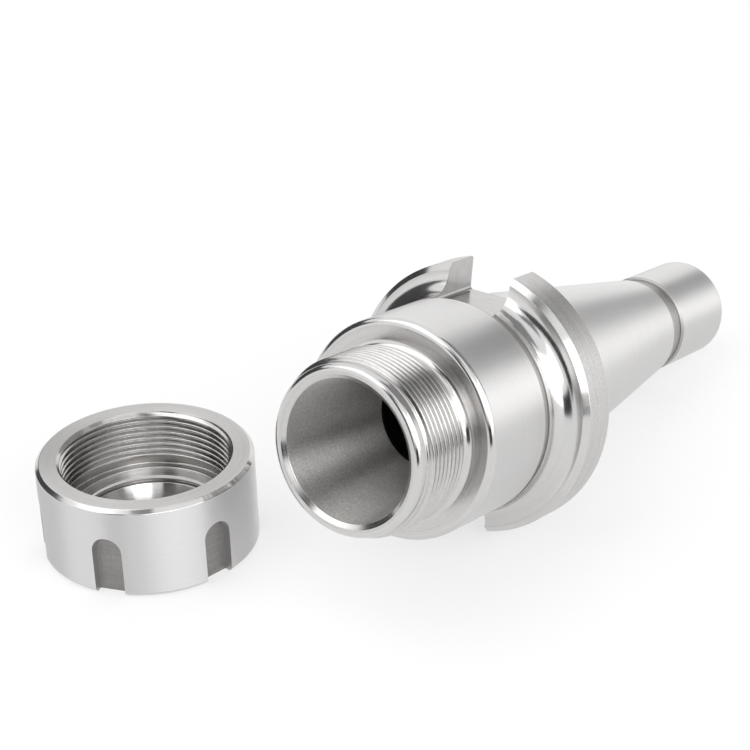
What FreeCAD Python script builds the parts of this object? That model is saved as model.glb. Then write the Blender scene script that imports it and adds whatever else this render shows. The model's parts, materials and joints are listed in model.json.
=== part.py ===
import FreeCAD, Part
import math
import os

from FreeCAD import Vector

# Collet chuck holder for milling machines, in millimetres: a holder body with a 7:24 taper
# shank, size 40, and a collet nose, and the slotted clamping nut that screws onto the nose.
# The body lies on its side. The nut is off its thread and stands beside the nose.
#
# Each piece is turned about its own Z axis. The body's stations are measured along that axis
# from the gauge plane of its taper, positive towards the nose. The nut's are measured up from
# the front face on which it stands.

# ---- Body: taper shank ----
taper_per_mm = 7.0 / 24.0        # growth in diameter per length of the steep taper
gauge_dia = 44.45                # diameter of the taper at its gauge plane
taper_length = 65.4              # from the gauge plane back to the small end
shank_length = 93.4              # from the gauge plane back to the end of the pilot
pilot_dia = 24.7
pilot_length = 22.8
pilot_edge = 1.0                 # rounding of the pilot's end
relief_dia = 23.2                # runout groove between the taper and the pilot
relief_bevel = 0.5

# ---- Body: flange with its two drive slots ----
flange_dia = 63.0
flange_setback = 1.6             # from the gauge plane forward to the flange's rear face
flange_width = 10.0
flange_rear_bevel = 0.5
flange_front_bevel = 1.3
drive_slot_width = 16.1
drive_slot_floor = 22.5          # from the axis
drive_slot_runout = 6.4          # how far the slots run on past the flange into the body
drive_slot_corner = 0.85         # rounding between a slot's walls and its floor

# ---- Body: cylinder and threaded nose ----
body_dia = 50.0
flange_front_land = 0.6          # flat of the flange's front face, outside its hollow fillet
mark_groove_gap = 0.8            # between that fillet and the groove
mark_groove_width = 1.8
mark_groove_depth = 0.3
shoulder_station = 40.3
shoulder_edge = 1.2
neck_dia = 36.8                  # undercut between the shoulder and the thread
neck_width = 2.2
neck_fillet = 1.6
thread_dia = 40.0                # M40 x 1.5, left plain at its crest
thread_length = 11.2
lead_dia = 38.0                  # plain lead in front of the thread
nose_station = 59.0
nose_edge = 0.8

# ---- Body: collet socket and drawbar hole ----
collet_angle = 8.0               # degrees from the axis
collet_mouth_dia = 32.0          # of the socket's cone, at the nose face
collet_mouth_bevel = 0.45
socket_bore_dia = 23.5           # straight bore behind the cone
socket_bore_end = 6.0            # station where it meets its drilled bottom
drill_angle = 59.0               # degrees from the axis, half a drill's point
passage_dia = 10.0
drawbar_dia = 14.0               # core of the M16 drawbar thread
drawbar_thread_length = 32.0
drawbar_entry_dia = 17.0
drawbar_entry_depth = 8.0
drawbar_bevel = 0.8

# ---- Nut ----
nut_dia = 50.0
nut_height = 22.5
nut_top_bevel = 0.9
nut_foot_bevel = 1.0
nut_thread_dia = 38.4            # core of the M40 x 1.5 thread, left plain
nut_mouth_bevel = 1.7
nut_undercut_dia = 40.6
nut_undercut_top = 11.1          # station where the thread runs out
nut_step = 8.3                   # station of the undercut's floor
nut_step_dia = 36.4
lip_top = 7.0
lip_thickness = 0.8
lip_dia = 34.0                   # hole through the extraction lip
lip_offset = 0.5                 # of that hole from the nut's axis
lip_side = 220.0                 # degrees, heading of the lip's wide side
lip_groove_dia = 35.2
cone_top = 5.0
cone_angle = 30.0                # degrees from the axis
nut_opening_dia = 28.0
nut_opening_land = 0.5

wrench_slots = 6
wrench_slot_width = 7.0
wrench_slot_height = 12.8
wrench_slot_depth = 2.7
wrench_slot_heading = 19.0       # degrees, of the first slot

# ---- Where the nut stands ----
nut_clearance = 7.2              # sideways, between the body's cylinder and the nut
nut_ahead = 17.9                 # of the nut's axis, ahead of the shoulder

# ---- Worked out from the sizes above ----
gauge_r = gauge_dia / 2
taper_end_r = gauge_r - taper_length * taper_per_mm / 2
pilot_r = pilot_dia / 2
relief_r = relief_dia / 2
flange_r = flange_dia / 2
body_r = body_dia / 2
neck_r = neck_dia / 2
thread_r = thread_dia / 2
lead_r = lead_dia / 2
nut_r = nut_dia / 2
flange_front = flange_setback + flange_width
root_fillet = flange_r - flange_front_bevel - flange_front_land - body_r
past = 5.0                       # how far cutters run on past a face


def turned(outline):
    """Solid turned about Z from a closed outline of (radius, station) corners."""
    corners = [Vector(radius, 0, station) for radius, station in outline]
    face = Part.Face(Part.makePolygon(corners + corners[:1]))
    return face.revolve(Vector(0, 0, 0), Vector(0, 0, 1), 360)


def rings(solid, *places):
    """The circular edges of a turned solid at the given (radius, station) places."""
    found = []
    for edge in solid.Edges:
        if not isinstance(edge.Curve, Part.Circle):
            continue
        for radius, station in places:
            same_radius = abs(edge.Curve.Radius - radius) < 1e-6
            if same_radius and abs(edge.Curve.Center.z - station) < 1e-6:
                found.append(edge)
    return found


def body_blank():
    """Outside of the holder body, turned: pilot, taper, flange, cylinder and nose."""
    shank_end = -shank_length
    pilot_front = shank_end + pilot_length
    neck_end = shoulder_station + neck_width
    thread_rise = thread_r - neck_r
    thread_start = neck_end + thread_rise
    thread_end = thread_start + thread_length
    lead_start = thread_end + thread_r - lead_r
    groove_start = flange_front + root_fillet + mark_groove_gap
    groove_end = groove_start + mark_groove_width
    groove_r = body_r - mark_groove_depth
    blank = turned([
        (0, shank_end),
        (pilot_r, shank_end),
        (pilot_r, pilot_front - relief_bevel),
        (pilot_r - relief_bevel, pilot_front),
        (relief_r, pilot_front),
        (relief_r, -taper_length),
        (taper_end_r, -taper_length),
        (gauge_r, 0),
        (gauge_r, flange_setback),
        (flange_r - flange_rear_bevel, flange_setback),
        (flange_r, flange_setback + flange_rear_bevel),
        (flange_r, flange_front - flange_front_bevel),
        (flange_r - flange_front_bevel, flange_front),
        (body_r, flange_front),
        (body_r, groove_start),
        (groove_r, groove_start),
        (groove_r, groove_end),
        (body_r, groove_end),
        (body_r, shoulder_station),
        (neck_r, shoulder_station),
        (neck_r, neck_end),
        (thread_r, thread_start),
        (thread_r, thread_end),
        (lead_r, lead_start),
        (lead_r, nose_station),
        (0, nose_station),
    ])
    blank = blank.makeFillet(root_fillet, rings(blank, (body_r, flange_front)))
    blank = blank.makeFillet(neck_fillet, rings(blank, (neck_r, shoulder_station)))
    blank = blank.makeFillet(shoulder_edge, rings(blank, (body_r, shoulder_station)))
    blank = blank.makeFillet(pilot_edge, rings(blank, (pilot_r, shank_end)))
    return blank.makeFillet(nose_edge, rings(blank, (lead_r, nose_station)))


def body_bore():
    """What is bored out of the body: collet socket, passage and drawbar hole."""
    mouth_r = collet_mouth_dia / 2
    socket_r = socket_bore_dia / 2
    passage_r = passage_dia / 2
    drawbar_r = drawbar_dia / 2
    entry_r = drawbar_entry_dia / 2
    cone_slope = math.tan(math.radians(collet_angle))
    drill_slope = math.tan(math.radians(drill_angle))
    bevel_depth = collet_mouth_bevel / (1 + cone_slope)
    bevel_r = mouth_r - cone_slope * bevel_depth
    cone_end = nose_station - (mouth_r - socket_r) / cone_slope
    entry_floor = drawbar_entry_depth - shank_length
    thread_floor = entry_floor + drawbar_thread_length
    return turned([
        (0, -shank_length - past),
        (entry_r + drawbar_bevel + past, -shank_length - past),
        (entry_r, -shank_length + drawbar_bevel),
        (entry_r, entry_floor),
        (drawbar_r, entry_floor),
        (drawbar_r, thread_floor),
        (passage_r, thread_floor + (drawbar_r - passage_r) / drill_slope),
        (passage_r, socket_bore_end - (socket_r - passage_r) / drill_slope),
        (socket_r, socket_bore_end),
        (socket_r, cone_end),
        (bevel_r, nose_station - bevel_depth),
        (bevel_r + bevel_depth + past, nose_station + past),
        (0, nose_station + past),
    ])


def drive_slot():
    """Cutter for one drive slot, on the +X side: a flat floor with rounded corners."""
    rear = -gauge_r
    length = flange_front + drive_slot_runout - rear
    corner = Vector(drive_slot_floor, -drive_slot_width / 2, rear)
    cutter = Part.makeBox(flange_r + past, drive_slot_width, length, corner)
    floor_edges = []
    for edge in cutter.Edges:
        along_axis = abs(edge.BoundBox.ZLength - length) < 1e-6
        if along_axis and abs(edge.CenterOfMass.x - drive_slot_floor) < 1e-6:
            floor_edges.append(edge)
    return cutter.makeFillet(drive_slot_corner, floor_edges)


def holder_body():
    """The holder body about its own axis, with a drive slot on each side along X."""
    body = body_blank().cut(body_bore())
    for turn in (0, 180):
        cutter = drive_slot()
        cutter.rotate(Vector(0, 0, 0), Vector(0, 0, 1), turn)
        body = body.cut(cutter)
    return body


def nut_cavity():
    """What is bored out of the nut: threaded mouth, step, eccentric lip, groove and cone."""
    thread_core_r = nut_thread_dia / 2
    undercut_r = nut_undercut_dia / 2
    opening_r = nut_opening_dia / 2
    groove_r = lip_groove_dia / 2
    mouth_start = nut_height - nut_mouth_bevel
    runout = nut_undercut_top - (undercut_r - thread_core_r)
    cone_top_r = opening_r + (cone_top - nut_opening_land) * math.tan(math.radians(cone_angle))
    mouth = turned([
        (0, lip_top),
        (nut_step_dia / 2, lip_top),
        (nut_step_dia / 2, nut_step),
        (undercut_r, nut_step),
        (undercut_r, runout),
        (thread_core_r, nut_undercut_top),
        (thread_core_r, mouth_start),
        (thread_core_r + nut_mouth_bevel + past, nut_height + past),
        (0, nut_height + past),
    ])
    front = turned([
        (0, -past),
        (opening_r, -past),
        (opening_r, nut_opening_land),
        (cone_top_r, cone_top),
        (groove_r, cone_top),
        (groove_r, lip_top - lip_thickness),
        (0, lip_top - lip_thickness),
    ])
    away = math.radians(lip_side + 180)
    lip_centre = Vector(lip_offset * math.cos(away), lip_offset * math.sin(away), cone_top)
    lip_hole = Part.makeCylinder(lip_dia / 2, nut_step - cone_top, lip_centre)
    return mouth.fuse([front, lip_hole])


def wrench_slot():
    """Cutter for one wrench slot, on the +X side: open below, with a round upper end."""
    half_width = wrench_slot_width / 2
    floor = nut_r - wrench_slot_depth
    depth = wrench_slot_depth + past
    round_centre = wrench_slot_height - half_width
    corner = Vector(floor, -half_width, -past)
    channel = Part.makeBox(depth, wrench_slot_width, round_centre + past, corner)
    top = Part.makeCylinder(half_width, depth, Vector(floor, 0, round_centre), Vector(1, 0, 0))
    return channel.fuse(top)


def clamping_nut():
    """The nut about its own axis, standing on its front face with its thread upwards."""
    nut = turned([
        (0, 0),
        (nut_r - nut_foot_bevel, 0),
        (nut_r, nut_foot_bevel),
        (nut_r, nut_height - nut_top_bevel),
        (nut_r - nut_top_bevel, nut_height),
        (0, nut_height),
    ])
    nut = nut.cut(nut_cavity())
    for number in range(wrench_slots):
        cutter = wrench_slot()
        heading = wrench_slot_heading + number * 360 / wrench_slots
        cutter.rotate(Vector(0, 0, 0), Vector(0, 0, 1), heading)
        nut = nut.cut(cutter)
    return nut


def place(body, nut):
    """Lay the body down, stand the nut beside it and centre the pair over the origin.

    The body points along +X with its drive slots above and below. It rests on the two
    corners of the lower slot at the flange's rear edge and on the pilot's rounded end.
    """
    foot_station = flange_setback + flange_rear_bevel
    foot_r = math.sqrt(flange_r ** 2 - (drive_slot_width / 2) ** 2)
    heel_station = pilot_edge - shank_length
    heel_r = pilot_r - pilot_edge
    run = foot_station - heel_station
    rise = foot_r - heel_r
    tilt = math.acos(pilot_edge / math.hypot(run, rise)) - math.atan2(run, rise)
    gauge_height = foot_r * math.cos(tilt) - foot_station * math.sin(tilt)

    nut_x = shoulder_station + nut_ahead
    nut_y = -(body_r + nut_clearance + nut_r)
    rear_x = heel_station * math.cos(tilt) - heel_r * math.sin(tilt) - pilot_edge
    middle_x = (rear_x + nut_x + nut_r) / 2
    middle_y = (flange_r + nut_y - nut_r) / 2

    body.rotate(Vector(0, 0, 0), Vector(0, 1, 0), 90 - math.degrees(tilt))
    body.translate(Vector(-middle_x, -middle_y, gauge_height))
    nut.translate(Vector(nut_x - middle_x, nut_y - middle_y, 0))


holder = holder_body()
nut = clamping_nut()
place(holder, nut)

os.makedirs("parts", exist_ok=True)
holder.exportStep("parts/holder_body.step")
nut.exportStep("parts/clamping_nut.step")
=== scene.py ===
# A steep-taper collet chuck holder lying on its side, with its clamping nut off the thread and
# standing beside the nose. Both are bare steel, turned, milled and ground.
import json
import math

import bmesh
import bpy
import numpy as np
from mathutils import Matrix, Vector


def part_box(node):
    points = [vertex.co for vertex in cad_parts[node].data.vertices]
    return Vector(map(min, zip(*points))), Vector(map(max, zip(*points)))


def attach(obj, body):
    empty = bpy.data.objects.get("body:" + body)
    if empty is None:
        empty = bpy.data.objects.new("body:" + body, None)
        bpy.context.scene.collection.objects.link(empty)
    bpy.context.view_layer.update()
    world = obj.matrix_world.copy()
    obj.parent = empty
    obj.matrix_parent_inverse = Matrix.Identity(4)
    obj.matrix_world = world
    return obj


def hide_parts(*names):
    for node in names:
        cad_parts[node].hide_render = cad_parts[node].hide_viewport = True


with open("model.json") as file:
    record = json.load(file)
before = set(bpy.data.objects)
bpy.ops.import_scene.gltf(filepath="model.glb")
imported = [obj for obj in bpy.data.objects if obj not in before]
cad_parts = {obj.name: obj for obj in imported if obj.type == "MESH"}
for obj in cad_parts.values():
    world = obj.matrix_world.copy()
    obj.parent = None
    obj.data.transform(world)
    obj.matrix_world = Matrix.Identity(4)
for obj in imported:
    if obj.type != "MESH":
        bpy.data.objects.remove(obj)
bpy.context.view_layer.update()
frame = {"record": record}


# ---- Holder body ----
# One bar of alloy steel: turned, hardened, then ground on the taper, the rim and the cylinder.
# The drive slots are milled across the flange, and the thread is cut on the nose.
# Sizes are in millimetres; stations run along its axis from the taper's gauge plane.

def outline(corners, longest=8.0, near_end=0.06):
    """Rounded outline through (radius, station, rounding, finish) corners.

    At a rounded corner an arc touches both sides: it starts the rounding over the tangent of
    half the corner's inner angle away, and its centre lies on the bisector. A corner's finish
    is that of the run after it, and arcs are polished. Each run has a point near each of its
    ends, which keeps its shading straight, and none of its steps is over the longest.
    """
    places = np.array([corner[:2] for corner in corners], float)
    points = [places[:1]]
    finishes = []
    for index in range(1, len(corners)):
        here = places[index]
        rounding = corners[index][2]
        start, arc = here, None
        if rounding > 0:
            before = places[index - 1] - here
            after = places[index + 1] - here
            before_way = before / np.linalg.norm(before)
            after_way = after / np.linalg.norm(after)
            inner = math.acos(np.clip(before_way @ after_way, -1, 1))
            turn = math.pi - inner
            reach = rounding / math.tan(inner / 2)
            start = here + before_way * reach
            middle = before_way + after_way
            centre = here + middle / np.linalg.norm(middle) * rounding / math.sin(inner / 2)
            steps = 3 + int(turn * math.sqrt(rounding) * 5)
            share = np.linspace(0, 1, steps + 1)[1:, None]
            first = start - centre
            last = here + after_way * reach - centre
            arc = centre + (np.sin((1 - share) * turn) * first
                            + np.sin(share * turn) * last) / math.sin(turn)
        run = np.linalg.norm(start - points[-1][-1])
        if run > 1e-6:
            near = min(near_end / run, 0.25)
            inside = np.linspace(near, 1 - near, 2 + int(run / longest))
            share = np.concatenate([inside, [1.0]])[:, None]
            points.append(points[-1][-1] * (1 - share) + start * share)
            finishes += [corners[index - 1][3]] * len(share)
        if arc is not None:
            points.append(arc)
            finishes += ["polished"] * len(arc)
    return np.concatenate(points), np.array(finishes)


def turned_grid(line, angles):
    """Grid of an outline turned about the axis: x and y are the radius times the angle's
    cosine and sine. The angles are one row for all stations, or one row for each."""
    radius = line[:, :1]
    return np.stack(np.broadcast_arrays(radius * np.cos(angles), radius * np.sin(angles),
                                        line[:, 1:]), axis=-1)


def lathe_marks(grid, line):
    """Where a pattern lies on a turned surface: its x and y, and for z the length along the
    outline, counted from its first station, so that marks run evenly over faces and bevels."""
    along = np.concatenate([[0], np.cumsum(np.linalg.norm(np.diff(line, axis=0), axis=1))])
    marks = grid.copy()
    marks[..., 2] = along[:, None] + line[0, 1]
    return marks


def sew(name, patches, origin, axes, finishes):
    """One closed mesh from patches of (grid, marks, finish per row, closed or not).

    Each patch gives a face for every cell of its grid, and the points that patches share are
    merged. Grids are in millimetres along the piece's own axes, which origin and axes place.
    Finishes are named, and the last argument has the material of each. An edge that turns
    less than the crease is smooth, and so is every edge inside a thread.
    """
    vertices, marks, faces, face_finishes = [], [], [], []
    count = 0
    for grid, mark, finish, closed in patches:
        rows, columns = grid.shape[:2]
        number = np.arange(rows * columns).reshape(rows, columns) + count
        if closed:
            number = np.concatenate([number, number[:, :1]], axis=1)
        cells = np.stack([number[:-1, :-1], number[:-1, 1:], number[1:, 1:], number[1:, :-1]], -1)
        faces.append(cells.reshape(-1, 4))
        face_finishes.append(np.repeat(np.broadcast_to(finish, rows - 1), cells.shape[1]))
        vertices.append(grid.reshape(-1, 3))
        marks.append(mark.reshape(-1, 3))
        count += rows * columns
    vertices = origin + np.concatenate(vertices) @ axes / 1000
    faces = np.concatenate(faces)
    mesh = bpy.data.meshes.new(name)
    mesh.from_pydata(vertices.tolist(), [], faces.tolist())
    for material in finishes.values():
        mesh.materials.append(material)
    order = list(finishes)
    used, which = np.unique(np.concatenate(face_finishes), return_inverse=True)
    slots = np.array([order.index(finish) for finish in used], np.int32)[which]
    mesh.polygons.foreach_set("material_index", slots)
    corner_marks = np.concatenate(marks)[faces.ravel()].astype(np.float32)
    attribute = mesh.attributes.new("lathe", "FLOAT_VECTOR", "CORNER")
    attribute.data.foreach_set("vector", corner_marks.ravel())
    crease = math.radians(32)
    merge_gap = 2e-7             # in metres, between points that are one
    in_thread = [order.index("thread")] * 2
    work = bmesh.new()
    work.from_mesh(mesh)
    bmesh.ops.remove_doubles(work, verts=work.verts, dist=merge_gap)
    bmesh.ops.recalc_face_normals(work, faces=work.faces)
    for edge in work.edges:
        beside = [face.material_index for face in edge.link_faces]
        edge.smooth = edge.calc_face_angle(0) < crease or beside == in_thread
    for face in work.faces:
        face.smooth = True
    work.to_mesh(mesh)
    work.free()
    piece = bpy.data.objects.new(name, mesh)
    bpy.context.scene.collection.objects.link(piece)
    return piece


gauge_mount = next(m for m in frame["record"]["mounts"] if m["name"] == "taper_shank")
nose_way = -np.array(gauge_mount["axis"])
side_way = np.array([0.0, 1.0, 0.0])
body_axes = np.stack([np.cross(side_way, nose_way), side_way, nose_way])
gauge_centre = np.array(gauge_mount["pos_m"])

gauge_r = 22.225                 # of the taper, at its gauge plane
flange_r = 31.5
flange_rear = 1.6
flange_front = 11.6
flange_rear_bevel = 0.5
flange_front_bevel = 1.3
body_r = 25.0
root_fillet = 4.6                # hollow between the flange's front face and the cylinder
fillet_end = flange_front + root_fillet
mark_groove_r = 24.7             # bottom of the shallow groove in which the slots end
mark_groove_start = 17.0
mark_groove_end = 18.8
slot_half = 8.05
slot_floor = 22.5                # from the axis
slot_end = 18.0
slot_wall_foot = math.sqrt(mark_groove_r ** 2 - slot_half ** 2)
slot_corner = slot_wall_foot - slot_floor

# The slot's cross-section, from one wall's foot over the flat floor to the other's.
corner_turn = np.linspace(0, math.pi / 2, 6)
corner_x = slot_wall_foot - slot_corner * np.sin(corner_turn)
corner_y = slot_half - slot_corner * (1 - np.cos(corner_turn))
flat_y = np.linspace(corner_y[-1], -corner_y[-1], 16)[1:-1]
floor_line = np.stack([
    np.concatenate([corner_x, np.full(len(flat_y), slot_floor), corner_x[::-1]]),
    np.concatenate([corner_y, flat_y, -corner_y[::-1]])], axis=-1)[::-1]

land_share = np.linspace(0, 1, 73)    # of the way from one slot to the other, per column


def land_angles(radius):
    """Headings over the land between the two slots, at each radius: from the one slot's wall
    to the other's, where the arcsine of the wall's distance over the radius is the heading."""
    wall = np.arcsin(slot_half / np.asarray(radius))[..., None]
    return wall + land_share * (math.pi - 2 * wall)


# Every ring of the body has a column for each point of the slots' floors, and they are set
# out by the arcsine of the point's distance from the middle, so that none comes twice.
floor_angles = np.arcsin(floor_line[:, 1] / mark_groove_r)
ring_angles = np.concatenate([floor_angles[:-1], land_angles(mark_groove_r)[:-1],
                              floor_angles[:-1] + math.pi,
                              land_angles(mark_groove_r)[:-1] + math.pi])

# From the passage out through the drawbar hole, round the pilot and up the taper.
passage_r = 5.0
passage_end = -52.2
drawbar_r = 7.0
drawbar_thread_end = -53.4
entry_r = 8.5
entry_floor = -85.4
entry_bevel = 0.8
pilot_r = 12.35
pilot_end = -93.4
pilot_round = 1.0
pilot_front = -70.6
relief_r = 11.6
relief_bevel = 0.5
taper_end = -65.4
taper_end_r = 12.7375
taper_bevel = 0.35
rear_line, rear_finish = outline([
    # The passage takes the bore finish, whose colour is painted almost black as shade.
    (passage_r, passage_end, 0, "bore"),
    (drawbar_r, drawbar_thread_end, 0, "thread"),
    (drawbar_r, entry_floor, 0, "socket"),
    (entry_r, entry_floor, 0, "socket"),
    (entry_r, pilot_end + entry_bevel, 0, "polished"),
    (entry_r + entry_bevel, pilot_end, 0.1, "turned"),
    (pilot_r, pilot_end, pilot_round, "ground"),
    (pilot_r, pilot_front - relief_bevel, 0, "relief"),
    (pilot_r - relief_bevel, pilot_front, 0, "relief"),
    (relief_r, pilot_front, 0, "relief"),
    (relief_r, taper_end, 0, "relief"),
    (pilot_r, taper_end, 0, "polished"),
    (taper_end_r, taper_end + taper_bevel, 0.15, "ground"),
    (gauge_r, 0.0, 0, "ground"),
    (gauge_r, flange_rear, 0, "ground"),
])

# Over the flange between the slots, down its root fillet and into the groove.
land_line, land_finish = outline([
    (mark_groove_r, flange_rear, 0, "turned"),
    (flange_r - flange_rear_bevel, flange_rear, 0.15, "polished"),
    (flange_r, flange_rear + flange_rear_bevel, 0.3, "rim"),
    (flange_r, flange_front - flange_front_bevel, 0.25, "polished"),
    (flange_r - flange_front_bevel, flange_front, 0.2, "turned"),
    (body_r + root_fillet, flange_front, 0, "polished"),
])
root_turn = np.linspace(0, math.pi / 2, 21)[1:]
root_line = np.stack([body_r + root_fillet * (1 - np.sin(root_turn)),
                      fillet_end - root_fillet * np.cos(root_turn)], axis=-1)
past_line, past_finish = outline([
    (body_r, fillet_end, 0, "ground"),
    (body_r, mark_groove_start, 0, "relief"),
    (mark_groove_r, mark_groove_start, 0, "relief"),
    (mark_groove_r, slot_end, 0, "relief"),
])
land_line = np.concatenate([land_line, root_line, past_line[1:]])
land_finish = np.concatenate([land_finish, ["polished"] * len(root_line), past_finish])

# Along the cylinder and over its shoulder to the thread.
shoulder = 40.3
shoulder_round = 1.5
neck_r = 18.4
neck_round = 1.9
thread_low = 42.3                # where the shoulder's outline hands over to the thread
shoulder_line, shoulder_finish = outline([
    (mark_groove_r, slot_end, 0, "relief"),
    (mark_groove_r, mark_groove_end, 0, "polished"),
    (body_r, mark_groove_end, 0, "ground"),
    (body_r, shoulder, shoulder_round, "turned"),
    (neck_r, shoulder, neck_round, "turned"),
    (neck_r, thread_low, 0, "turned"),
])

# Round the nose from the thread's other end, down the collet's cone and back to the passage.
thread_high = 56.5
lead_r = 19.0                    # plain lead in front of the thread
nose = 59.0
nose_round = 1.35
mouth_r = 17.0
mouth_bevel = 0.75
cone_top_r = 15.93
socket_r = 11.75
cone_end = 28.76
socket_end = 6.0
drill_end = 1.94
nose_line, nose_finish = outline([
    (lead_r, thread_high, 0, "turned"),
    (lead_r, nose, nose_round, "turned"),
    (mouth_r, nose, 0.12, "turned"),
    (cone_top_r, nose - mouth_bevel, 0.15, "socket"),
    # The straight bore and the passage take the bore finish, whose colour is painted almost black
    # as shade.
    (socket_r, cone_end, 0, "bore"),
    (socket_r, socket_end, 0, "bore"),
    (passage_r, drill_end, 0, "bore"),
    (passage_r, passage_end, 0, "bore"),
])

# A thread of 1.5 mm pitch. Its crest is at phase 0 and its root at phase 0.5, and the rows of
# its grid are closest together where a flank begins or ends.
thread_pitch = 1.5
root_share = 0.18                # of the pitch that is flat root
flank_share = 0.62               # of the pitch that is flank, on both sides together
flank_round = 0.3                # weight of the smooth step that rounds a flank's ends
first_half = np.array([0.07, 0.11, 0.16, 0.25, 0.34, 0.39, 0.44])
thread_phases = np.concatenate([[0.0], first_half, 1 - first_half[::-1]])


def helix(low, high, angles, blank, side, root, depth):
    """A thread between two stations, and where it meets the turned blank.

    Each row of the grid climbs one pitch per turn, so it keeps its height in the thread. The
    height rises evenly with the phase's distance from the root, over the flanks, blended with
    a smooth step that rounds their ends. Rows past an end of the thread lie on that end.
    The side is 1 where the thread stands outwards and never over the blank, and -1 where it
    is cut outwards into a bore and never under the blank.
    """
    closed = np.concatenate([angles, [angles[0] + 2 * math.pi]])
    turns = (closed - angles[0]) / (2 * math.pi)
    count = int((high - low) / thread_pitch) + 2
    phase = np.tile(thread_phases, count)
    starts = low + thread_pitch * (np.repeat(np.arange(count), len(thread_phases)) - 1 + phase)
    station = np.clip(starts[:, None] + thread_pitch * turns, low, high)
    rise = np.clip((2 * np.abs(phase - 0.5) - root_share) / flank_share, 0, 1)
    height = (1 - flank_round) * rise + flank_round * rise ** 2 * (3 - 2 * rise)
    turned_r = np.interp(station, *blank)
    cut_r = root + side * depth * height[:, None]
    radius = np.minimum(turned_r, cut_r) if side > 0 else np.maximum(turned_r, cut_r)
    grid = np.stack([radius * np.cos(closed), radius * np.sin(closed), station], axis=-1)
    return grid, grid, "thread", False


def slot_patches():
    """The slots' floors, walls and ends, and what they leave of the flange's rear face."""
    on_wall = land_line[:, 1] <= mark_groove_start
    top_r = land_line[on_wall, 0]
    stations = land_line[on_wall, 1]
    end_ring = mark_groove_r * np.stack([np.cos(floor_angles), np.sin(floor_angles)], -1)
    patches = []
    for turn in (1, -1):
        floor = np.concatenate([
            np.broadcast_to(floor_line * turn, (len(stations), *floor_line.shape)),
            np.broadcast_to(stations[:, None, None], (len(stations), len(floor_line), 1))], -1)
        ends = np.stack([floor[-1], floor[-1]])
        ends[1, :, 2] = slot_end
        rise = np.stack([ends[1], ends[1]])
        rise[1, :, :2] = end_ring * turn
        patches += [(patch, patch, "milled", False) for patch in (floor, ends, rise)]
        for wall_side in (1, -1):
            top = np.stack([np.sqrt(top_r ** 2 - slot_half ** 2) * turn,
                            np.full(len(top_r), slot_half * wall_side), stations], -1)
            foot = top.copy()
            foot[:, 0] = slot_wall_foot * turn
            wall = np.stack([foot, top], axis=1)
            patches.append((wall, wall, "milled", False))
    inner = turned_grid(np.array([[gauge_r, flange_rear]]), ring_angles)[0]
    outer = turned_grid(np.array([[mark_groove_r, flange_rear]]), ring_angles)[0]
    span = len(floor_line) - 1
    half = len(ring_angles) // 2
    outer[:span, :2] = floor_line[:-1]
    outer[half:half + span, :2] = -floor_line[:-1]
    rear = np.stack([inner, outer])
    patches.append((rear, rear, "turned", True))
    return patches


body_patches = []
for line, finish in ((rear_line, rear_finish), (shoulder_line, shoulder_finish),
                     (nose_line, nose_finish)):
    grid = turned_grid(line, ring_angles)
    body_patches.append((grid, lathe_marks(grid, line), finish, True))
for turn in (0, math.pi):
    grid = turned_grid(land_line, land_angles(land_line[:, 0]) + turn)
    body_patches.append((grid, lathe_marks(grid, land_line), land_finish, False))

# The nose before its thread is cut: it rises from the neck and falls to the lead at 45 degrees.
thread_r = 20.0
thread_depth = 0.92
neck_end = 42.5
thread_start = neck_end + thread_r - neck_r
thread_length = 11.2
thread_end = thread_start + thread_length
lead_start = thread_end + thread_r - lead_r
nose_blank = ([thread_low, neck_end, thread_start, thread_end, lead_start, thread_high],
              [neck_r, neck_r, thread_r, thread_r, lead_r, lead_r])
body_patches.append(helix(thread_low, thread_high, ring_angles, nose_blank, side=1,
                          root=thread_r - thread_depth, depth=thread_depth))
body_patches += slot_patches()


def linear(hex_colour):
    """Linear red, green and blue of an sRGB hex colour, with an alpha of 1."""
    parts = [int(hex_colour[i:i + 2], 16) / 255 for i in (1, 3, 5)]
    return [p / 12.92 if p <= 0.04045 else ((p + 0.055) / 1.055) ** 2.4 for p in parts] + [1.0]


def add(tree, kind, settings=None, links=None):
    """A node of a kind, with settings by attribute, input name or number, and its links."""
    item = tree.nodes.new("ShaderNode" + kind)
    for key, value in (settings or {}).items():
        if isinstance(key, int) or key in item.inputs:
            item.inputs[key].default_value = value
        else:
            setattr(item, key, value)
    for key, output in (links or {}).items():
        tree.links.new(output, item.inputs[key])
    return item


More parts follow.
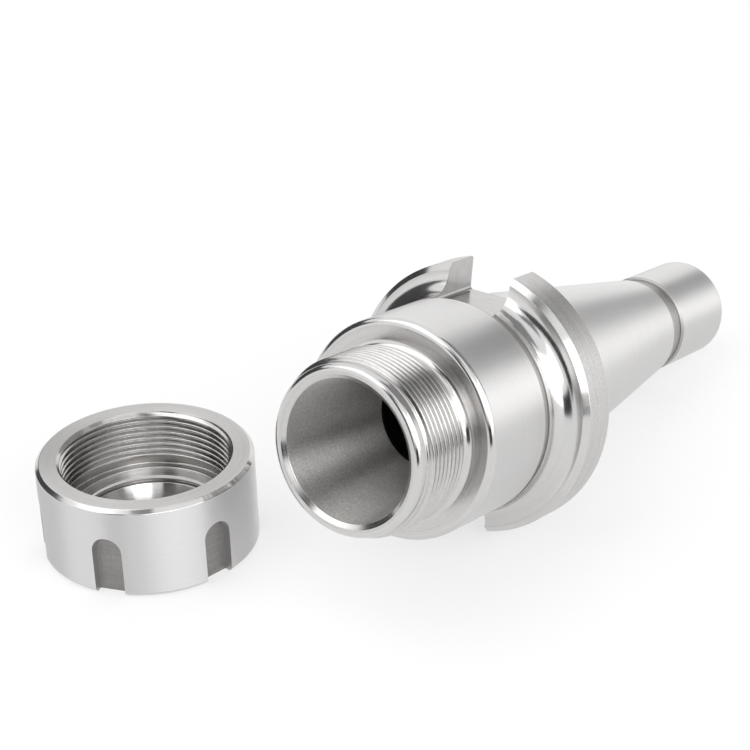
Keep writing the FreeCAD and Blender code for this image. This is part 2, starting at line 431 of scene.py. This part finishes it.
def machined_steel(name, light, dark, roughness, spread, ring_mm, deep_mm, grain_mm, grain_share,
                   stretch, centre, axis):
    """Bare steel with tool or grinding marks that run round an axis.

    Fine rings ring_mm apart vary the colour, the gloss and the height, mixed with a grain of
    grain_mm. The marks stretch what is mirrored across themselves: the way round the axis is
    the axis crossed with the arm from its centre, and a quarter turn leads across it.
    """
    material = bpy.data.materials.new(name)
    material.use_nodes = True
    tree = material.node_tree
    tree.nodes.clear()
    ring_draw = 0.03             # of the rings' noise, per millimetre along a ring
    lathe = add(tree, "Attribute", {"attribute_name": "lathe"}).outputs["Vector"]
    drawn = add(tree, "Mapping", {"Scale": (ring_draw, ring_draw, 0.5 / ring_mm)},
                {"Vector": lathe})
    rings = add(tree, "TexNoise", {"Scale": 1.0, "Detail": 4.0, "Roughness": 0.6},
                {"Vector": drawn.outputs[0]}).outputs[0]
    grain = add(tree, "TexNoise", {"Scale": 1.0 / grain_mm, "Detail": 4.0, "Roughness": 0.55},
                {"Vector": lathe}).outputs[0]
    mark = add(tree, "Mix", {"data_type": "FLOAT", 0: grain_share}, {2: rings, 3: grain}).outputs[0]
    colour = add(tree, "ValToRGB", links={0: mark})
    colour.color_ramp.elements[0].position = 0.32
    colour.color_ramp.elements[0].color = linear(dark)
    colour.color_ramp.elements[1].position = 0.68
    colour.color_ramp.elements[1].color = linear(light)
    gloss = add(tree, "MapRange", {1: 0.3, 2: 0.7, 3: roughness - spread, 4: roughness + spread},
                {0: mark})
    height = add(tree, "Bump", {"Strength": 1.0, "Distance": deep_mm / 1000}, {"Height": mark})
    place = add(tree, "TexCoord").outputs["Object"]
    arm = add(tree, "VectorMath", {"operation": "SUBTRACT", 1: tuple(centre)}, {0: place})
    round_way = add(tree, "VectorMath", {"operation": "CROSS_PRODUCT", 0: tuple(axis)},
                    {1: arm.outputs[0]})
    shader = add(tree, "BsdfPrincipled",
                 {"Metallic": 1.0, "Anisotropic": stretch, "Anisotropic Rotation": 0.25},
                 {"Base Color": colour.outputs[0], "Roughness": gloss.outputs[0],
                  "Normal": height.outputs[0], "Tangent": round_way.outputs[0]})
    add(tree, "OutputMaterial", links={"Surface": shader.outputs[0]})
    return material


body_turning = {"centre": gauge_centre, "axis": nose_way}
body_finishes = {
    # Polished with fine paper: fillets, bevels and edges, nearly mirror-bright.
    "polished": machined_steel(
        "polished_steel", "#D2D1D1", "#C8C7C6", roughness=0.15, spread=0.03, ring_mm=0.30,
        deep_mm=0.0005, grain_mm=6.0, grain_share=0.5, stretch=0.5, **body_turning),
    # Cylindrically ground: satin, with hair-fine rings.
    "ground": machined_steel(
        "ground_steel", "#D9D8D8", "#D0CFCE", roughness=0.41, spread=0.03, ring_mm=0.12,
        deep_mm=0.0008, grain_mm=0.35, grain_share=0.4, stretch=0.88, **body_turning),
    # Faced on the lathe: glossier, with rings that show as fine circles.
    "turned": machined_steel(
        "turned_steel", "#D0CFCE", "#C0BEBD", roughness=0.20, spread=0.05, ring_mm=0.20,
        deep_mm=0.0010, grain_mm=1.0, grain_share=0.3, stretch=0.6, **body_turning),
    # Left as cut in the grooves: duller and darker.
    "relief": machined_steel(
        "relief_steel", "#B6B4B2", "#A3A19F", roughness=0.42, spread=0.05, ring_mm=0.25,
        deep_mm=0.0020, grain_mm=1.0, grain_share=0.4, stretch=0.5, **body_turning),
    # Ground inside the socket: a fine grey grain.
    "socket": machined_steel(
        "socket_steel", "#D0CECC", "#A8A6A3", roughness=0.58, spread=0.05, ring_mm=0.25,
        deep_mm=0.0060, grain_mm=0.45, grain_share=0.8, stretch=0.97, **body_turning),
    # Thread flanks cut with a single point: bright and slightly torn.
    "thread": machined_steel(
        "thread_steel", "#D0CFCE", "#BDBBBA", roughness=0.18, spread=0.05, ring_mm=0.20,
        deep_mm=0.0015, grain_mm=1.0, grain_share=0.5, stretch=0.3, **body_turning),
    # Milled slot floors and walls, then rubbed: flat and glossy.
    "milled": machined_steel(
        "milled_steel", "#C4C2C1", "#B4B2B0", roughness=0.22, spread=0.04, ring_mm=0.30,
        deep_mm=0.0008, grain_mm=3.0, grain_share=0.5, stretch=0.0, **body_turning),
    # The flange's rim: ground with a coarser wheel, so its grain shows more.
    "rim": machined_steel(
        "rim_steel", "#DBDAD9", "#B4B2B0", roughness=0.34, spread=0.06, ring_mm=0.25,
        deep_mm=0.0050, grain_mm=0.35, grain_share=0.6, stretch=0.6, **body_turning),
    # The bored passage behind the cone: drilled and never finished, and its colour is painted
    # almost black, a painted shade for the dark inside.
    "bore": machined_steel(
        "bore_steel_painted_shade", "#5C5A57", "#474542", roughness=0.50, spread=0.05, ring_mm=0.40,
        deep_mm=0.0040, grain_mm=0.8, grain_share=0.5, stretch=0.0, **body_turning),
}

body = sew("holder_body_steel", body_patches, gauge_centre, body_axes, body_finishes)
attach(body, "root")
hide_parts("holder_body")


# ---- Clamping nut ----
# Turned from one bar, standing on its front face with the threaded mouth up. Six wrench slots
# are milled into its lower edge, and inside, an eccentric lip pulls the collet out. Its
# stations run up from that front face.

nut_low, nut_high = (np.array(corner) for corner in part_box("clamping_nut"))
nut_centre = np.array([*((nut_low + nut_high) / 2)[:2], nut_low[2]])

nut_r = 25.0
nut_height = 22.5
nut_foot_bevel = 1.0
nut_top_bevel = 0.9
wrench_slots = 6
wrench_half = 3.5
wrench_floor = 22.3              # from the axis
wrench_round = 11.5              # station of the centre of a slot's rounded end
wrench_heading = math.radians(19.0)
wall_joint = 17.5                # station over which the wall is whole
slot_pitch = 2 * math.pi / wrench_slots
floor_corner_r = math.hypot(wrench_floor, wrench_half)

arch_turn = np.linspace(-math.pi / 2, math.pi / 2, 13)
arch_y = wrench_half * np.sin(arch_turn)
arch_z = wrench_round + wrench_half * np.cos(arch_turn)
nut_share = np.linspace(0, 1, 27)


def nut_land_angles(radius):
    """Headings between one wrench slot and the next, at each radius."""
    wall = np.arcsin(wrench_half / np.asarray(radius))[..., None]
    return wall + nut_share * (slot_pitch - 2 * wall)


arch_angles = np.arcsin(arch_y / nut_r)
sector_angles = np.concatenate([arch_angles[:-1], nut_land_angles(nut_r)[:-1]])
sectors = [wrench_heading + number * slot_pitch for number in range(wrench_slots)]
nut_angles = np.concatenate([sector_angles + heading for heading in sectors])

foot_line, foot_finish = outline([
    (floor_corner_r, 0.0, 0, "turned"),
    (nut_r - nut_foot_bevel, 0.0, 0.2, "polished"),
    (nut_r, nut_foot_bevel, 0.4, "ground"),
    (nut_r, wrench_round, 0, "ground"),
])
wall_line, wall_finish = outline([
    (nut_r, wrench_round, 0, "ground"),
    (nut_r, wall_joint, 0, "ground"),
], longest=1.0)

# Over the top face to the mouth, where the thread takes over.
mouth_low_r = 20.1
mouth_low = 22.4
upper_line, upper_finish = outline([
    (nut_r, wall_joint, 0, "ground"),
    (nut_r, nut_height - nut_top_bevel, 0.35, "polished"),
    (nut_r - nut_top_bevel, nut_height, 0.2, "turned"),
    (mouth_low_r + nut_height - mouth_low, nut_height, 0, "turned"),
    (mouth_low_r, mouth_low, 0, "turned"),
])

# Under the thread: the undercut and its step, the lip and the groove behind it, then the cone.
undercut_r = 20.3
undercut_top = 10.3
step = 8.3
step_r = 18.2
lip_r = 17.0
lip_top = 7.0
lip_low = 6.2
groove_r = 17.6
groove_floor = 5.0
cone_r = 16.6
opening_r = 14.0
opening_land = 0.5
face_r = 14.6                    # where the front face's flat part begins
inner_line, inner_finish = outline([
    (undercut_r, undercut_top, 0, "relief"),
    (undercut_r, step, 0.25, "polished"),
    (step_r, step, 0.2, "turned"),
    (step_r, lip_top, 0, "turned"),
])
lip_line, lip_finish = outline([
    (step_r, lip_top, 0, "polished"),
    (lip_r, lip_top, 0.1, "polished"),
    (lip_r, lip_low, 0.1, "relief"),
    (groove_r, lip_low, 0, "relief"),
])
cone_line, cone_finish = outline([
    (groove_r, lip_low, 0, "relief"),
    (groove_r, groove_floor, 0.15, "polished"),
    (cone_r, groove_floor, 0.15, "polished"),
    (opening_r, opening_land, 0.1, "polished"),
    (opening_r, 0.0, 0.1, "turned"),
    (face_r, 0.0, 0, "turned"),
])


def eccentric(line, offset=0.5, side=math.radians(220.0)):
    """The lip's rows: a circle whose centre lies the offset away from the wide side. Its radius
    from the nut's axis follows the law of cosines, and it fades to the round rows beside it."""
    away = nut_angles - side
    round_r = line[:, :1]
    share = np.clip((step_r - round_r) / (step_r - lip_r), 0, 1)
    share[-1] = 0
    shifted = np.sqrt(round_r ** 2 - (offset * np.sin(away)) ** 2) - offset * np.cos(away)
    radius = round_r * (1 - share) + shifted * share
    stations = np.broadcast_to(line[:, 1:], radius.shape)
    return np.stack([radius * np.cos(nut_angles), radius * np.sin(nut_angles), stations], -1)


def spun(points, heading):
    """Points turned by a heading about the nut's axis."""
    turn = np.array([[math.cos(heading), math.sin(heading), 0],
                     [-math.sin(heading), math.cos(heading), 0], [0, 0, 1]])
    return points @ turn


def wrench_patches(heading):
    """One sixth of the nut's outside: the land beside a slot, the wall over the slot, and the
    slot's own floor, straight walls and rounded end."""
    land = turned_grid(foot_line, nut_land_angles(foot_line[:, 0]))
    beside = turned_grid(wall_line, nut_land_angles(nut_r))
    rise = (wall_line[:, 1:] - wrench_round) / (wall_joint - wrench_round)
    over_z = arch_z + (wall_joint - arch_z) * rise
    over = np.stack(np.broadcast_arrays(nut_r * np.cos(arch_angles),
                                        nut_r * np.sin(arch_angles), over_z), -1)
    arch_foot = np.stack(np.broadcast_arrays(wrench_floor, arch_y, arch_z), -1)
    arch = np.stack([arch_foot, over[0]])
    floor = np.stack(np.broadcast_arrays(wrench_floor, arch_y, foot_line[:, 1:]), -1)
    disc = np.stack([floor[-1], arch_foot])
    patches = [(land, lathe_marks(land, foot_line), foot_finish, False),
               (beside, lathe_marks(beside, wall_line), wall_finish, False),
               (over, over, "ground", False), (arch, arch, "ground", False),
               (floor, floor, "milled", False), (disc, disc, "milled", False)]
    for wall_side in (1, -1):
        top = np.stack([np.sqrt(foot_line[:, 0] ** 2 - wrench_half ** 2),
                        np.full(len(foot_line), wrench_half * wall_side), foot_line[:, 1]], -1)
        foot = top.copy()
        foot[:, 0] = wrench_floor
        wall = np.stack([foot, top], axis=1)
        patches.append((wall, wall, "ground", False))
    return [(spun(grid, heading), spun(marks, heading), finish, closed)
            for grid, marks, finish, closed in patches]


nut_patches = []
for line, finish in ((upper_line, upper_finish), (inner_line, inner_finish),
                     (cone_line, cone_finish)):
    grid = turned_grid(line, nut_angles)
    nut_patches.append((grid, lathe_marks(grid, line), finish, True))
grid = eccentric(lip_line)
nut_patches.append((grid, lathe_marks(grid, lip_line), lip_finish, True))

# The nut's bore before its thread is cut: out of the undercut, along the core and up the bevel.
nut_core_r = 19.2
nut_thread_depth = 0.85
bore_start_r = 20.0
core_start = 11.1
core_end = 21.5
nut_blank = ([undercut_top, undercut_top + 0.01, core_start, core_end, mouth_low],
             [undercut_r, bore_start_r, nut_core_r, nut_core_r, mouth_low_r])
nut_patches.append(helix(undercut_top, mouth_low, nut_angles, nut_blank, side=-1,
                         root=nut_core_r + nut_thread_depth, depth=nut_thread_depth))
for heading in sectors:
    nut_patches += wrench_patches(heading)

# The front face inside the slots: from the opening out to the slots' floors and corners.
face_inner = turned_grid(np.array([[face_r, 0.0]]), nut_angles)[0]
sector_outer = np.concatenate([
    np.stack(np.broadcast_arrays(wrench_floor, arch_y[:-1], 0.0), -1),
    turned_grid(np.array([[floor_corner_r, 0.0]]), nut_land_angles(floor_corner_r)[:-1])[0]])
face_outer = np.concatenate([spun(sector_outer, heading) for heading in sectors])
front_face = np.stack([face_inner, face_outer])
nut_patches.append((front_face, front_face, "turned", True))

nut_turning = {"centre": nut_centre, "axis": (0.0, 0.0, 1.0)}
nut_finishes = {
    # Polished bevels and the nut's cone: nearly mirror-bright.
    "polished": machined_steel(
        "nut_polished_steel", "#D4D3D3", "#CAC9C8", roughness=0.15, spread=0.03, ring_mm=0.30,
        deep_mm=0.0005, grain_mm=6.0, grain_share=0.5, stretch=0.5, **nut_turning),
    # Ground outside: an even satin.
    "ground": machined_steel(
        "nut_ground_steel", "#E0DFE0", "#DBDADA", roughness=0.46, spread=0.02, ring_mm=0.12,
        deep_mm=0.0002, grain_mm=0.5, grain_share=0.3, stretch=0.92, **nut_turning),
    # Faced on the lathe: fine circles that fan the light out.
    "turned": machined_steel(
        "nut_turned_steel", "#C8C7C6", "#B8B6B5", roughness=0.32, spread=0.05, ring_mm=0.20,
        deep_mm=0.0012, grain_mm=1.0, grain_share=0.3, stretch=0.9, **nut_turning),
    # Left as cut in the undercut and the groove: duller, and painted darker than the holder's
    # relief, a painted shade for these recesses inside the nut.
    "relief": machined_steel(
        "nut_relief_steel_and_painted_shade", "#A29F9C", "#8B8885", roughness=0.40, spread=0.05, ring_mm=0.25,
        deep_mm=0.0020, grain_mm=1.0, grain_share=0.4, stretch=0.5, **nut_turning),
    # Thread flanks cut with a single point: bright.
    "thread": machined_steel(
        "nut_thread_steel", "#CECCCB", "#B9B7B6", roughness=0.18, spread=0.05, ring_mm=0.20,
        deep_mm=0.0015, grain_mm=1.0, grain_share=0.5, stretch=0.3, **nut_turning),
    # Wrench slots left as milled: dull, and painted a darker grey than the ground wall and the
    # holder's milled slots, a painted shade for the slots at the table.
    "milled": machined_steel(
        "nut_milled_steel_and_painted_shade", "#9A9896", "#848280", roughness=0.38, spread=0.05, ring_mm=0.40,
        deep_mm=0.0030, grain_mm=0.6, grain_share=0.5, stretch=0.0, **nut_turning),
}

nut = sew("clamping_nut_steel", nut_patches, nut_centre, np.eye(3), nut_finishes)
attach(nut, "root")
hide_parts("clamping_nut")


# ---- Studio ----
# A white table in a white room, lit by three soft boxes: a large one low on the camera's far
# right, a small bright one beside the camera and one high on its left. Grey and black cards,
# which the camera doesn't see, give the bright steel its dark bands.

table_mesh = bpy.data.meshes.new("table")
edge = 3.0                       # of the table, in metres from the object
table_mesh.from_pydata([(-edge, -edge, 0), (edge, -edge, 0), (edge, edge, 0), (-edge, edge, 0)],
                       [], [(0, 1, 2, 3)])
table = bpy.data.objects.new("table", table_mesh)
bpy.context.scene.collection.objects.link(table)

# White board. It is lifted evenly for the camera and in what the steel mirrors, so the soft
# shadows stay on it and get fainter.
board = bpy.data.materials.new("white_board")
board.use_nodes = True
tree = board.node_tree
tree.nodes.clear()
light_path = add(tree, "LightPath")
mirrored = add(tree, "Math", {"operation": "MAXIMUM"},
               {0: light_path.outputs["Is Glossy Ray"],
                1: light_path.outputs["Is Transmission Ray"]})
either = add(tree, "Math", {"operation": "MAXIMUM"},
             {0: light_path.outputs["Is Camera Ray"], 1: mirrored.outputs[0]})
lift = 0.65                      # share of even white mixed into the board
lifted = add(tree, "Math", {"operation": "MULTIPLY", 1: lift}, {0: either.outputs[0]})
matt = add(tree, "BsdfDiffuse", {"Color": linear("#F6F6F6")})
sheet = add(tree, "Emission", {"Color": (1, 1, 1, 1), "Strength": 1.0})
mixed = add(tree, "MixShader", links={0: lifted.outputs[0], 1: matt.outputs[0],
                                      2: sheet.outputs[0]})
add(tree, "OutputMaterial", links={"Surface": mixed.outputs[0]})
table_mesh.materials.append(board)


def studio_card(name, headings, heights, grey, radius=1.4, rows=9, columns=13):
    """A card bent round the object, on a sphere about the origin: x and y are the radius times
    the cosine of the height, times the heading's cosine and sine, and z is the radius times
    the sine of the height. Headings and heights are in degrees, the radius in metres."""
    turn = np.radians(np.linspace(*headings, columns))
    rise = np.radians(np.linspace(*heights, rows))[:, None]
    grid = radius * np.stack(np.broadcast_arrays(np.cos(turn) * np.cos(rise),
                                                 np.sin(turn) * np.cos(rise), np.sin(rise)), -1)
    number = np.arange(rows * columns).reshape(rows, columns)
    cells = np.stack([number[:-1, :-1], number[1:, :-1], number[1:, 1:], number[:-1, 1:]], -1)
    mesh = bpy.data.meshes.new(name)
    mesh.from_pydata(grid.reshape(-1, 3).tolist(), [], cells.reshape(-1, 4).tolist())
    paper = bpy.data.materials.new(name + "_paper")
    paper.use_nodes = True
    shader = paper.node_tree.nodes["Principled BSDF"]
    shader.inputs["Base Color"].default_value = linear(grey)
    shader.inputs["Roughness"].default_value = 1.0
    shader.inputs["Specular IOR Level"].default_value = 0.0
    mesh.materials.append(paper)
    card = bpy.data.objects.new(name, mesh)
    card.visible_camera = False
    bpy.context.scene.collection.objects.link(card)


# Grey behind the object and high in front, darker on the camera's left, nearly black in front.
studio_card("card_behind_low", (134, 182), (15, 46), "#989898")
studio_card("card_behind_high", (108, 182), (46, 74), "#989898")
studio_card("card_left", (-126, -50), (1, 29), "#505050")
studio_card("card_front", (-5, 16), (3, 50), "#3A3A3A")
studio_card("card_front_low", (22, 62), (0.2, 13), "#303030", radius=0.75)
studio_card("card_front_high", (14, 42), (50, 72), "#909090")


def soft_box(name, heading, height, size, glow, distance=1.25):
    """A rectangular lamp at a heading and height in degrees, facing the object. Its power is
    pi times its area times its glow, which is how bright its face looks beside white."""
    lamp = bpy.data.lights.new(name, "AREA")
    lamp.shape = "RECTANGLE"
    lamp.size, lamp.size_y = size
    lamp.energy = math.pi * size[0] * size[1] * glow
    holder = bpy.data.objects.new(name, lamp)
    turn, rise = math.radians(heading), math.radians(height)
    way = Vector((math.cos(turn) * math.cos(rise), math.sin(turn) * math.cos(rise),
                  math.sin(rise)))
    holder.matrix_world = (Matrix.Translation(way * distance)
                           @ way.to_track_quat("Z", "Y").to_matrix().to_4x4())
    bpy.context.scene.collection.objects.link(holder)


soft_box("box_beside", 92.0, 24.0, (1.7, 0.9), 0.9)
soft_box("box_over", -40.0, 60.0, (1.1, 1.0), 0.8)
soft_box("box_front", 50.0, 31.0, (0.60, 0.50), 2.6)

world = bpy.data.worlds.new("white_room")
bpy.context.scene.world = world
world.use_nodes = True
room = world.node_tree.nodes["Background"]
room.inputs["Color"].default_value = (1, 1, 1, 1)
room.inputs["Strength"].default_value = 1.12    # a little over white, which clears the shadows

# The camera looks down on the nose and the nut from the nose's left. Its eye is in metres from
# the centre of the nut's foot, and look and right are unit vectors of its view.
camera_data = bpy.data.cameras.new("camera")
camera_data.sensor_width = 36.0
camera_data.lens = 101.87        # in millimetres, for that sensor
camera = bpy.data.objects.new("camera", camera_data)
bpy.context.scene.collection.objects.link(camera)
eye = Vector(nut_centre) + Vector((0.30552, 0.29199, 0.26423))
look = Vector((-0.70955, -0.52475, -0.47030))
right = Vector((-0.58100, 0.81332, -0.03092))
up = right.cross(look)
camera.matrix_world = Matrix((
    (right.x, up.x, -look.x, eye.x),
    (right.y, up.y, -look.y, eye.y),
    (right.z, up.z, -look.z, eye.z),
    (0, 0, 0, 1)))
bpy.context.scene.camera = camera
bpy.context.scene.view_settings.view_transform = "Standard"
